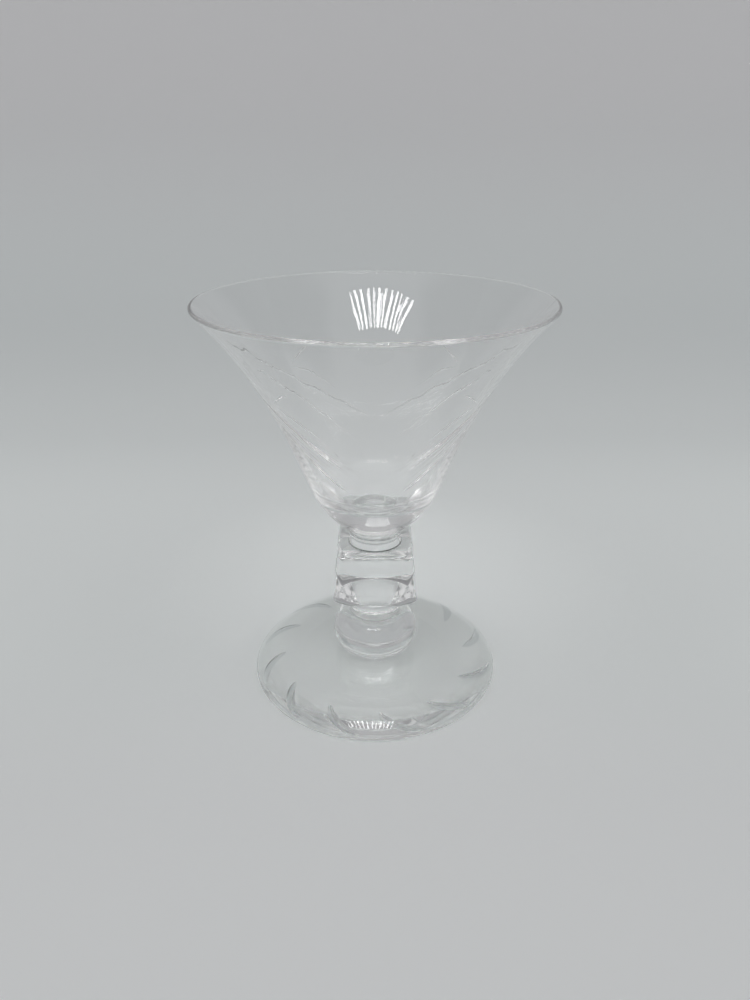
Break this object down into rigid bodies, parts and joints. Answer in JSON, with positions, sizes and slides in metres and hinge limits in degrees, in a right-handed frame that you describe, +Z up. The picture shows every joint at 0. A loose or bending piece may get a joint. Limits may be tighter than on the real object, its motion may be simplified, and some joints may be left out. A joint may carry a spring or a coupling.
{
  "type": "nick and nora glass",
  "caption": "Clear stemmed cocktail glass with a flared leaf-cut bowl, a ringed collar, a square stem block, a round knop and a leaf-cut round foot.",
  "frame": {"origin": "centre of the foot's underside, on the plane that the glass stands on", "axes": "+Z up along the glass's axis to the rim; -Y is the front that the picture shows, square to a side of the stem block"},
  "size_m": [0.0952, 0.0952, 0.115],
  "materials": {
    "glass": "clear polished cut glass"
  },
  "bodies": {
    "root": {"foot": "glass", "knop": "glass", "lower_neck": "glass", "stem_block": "glass", "ringed_collar": "glass", "bowl": "glass"}
  },
  "joints": []
}
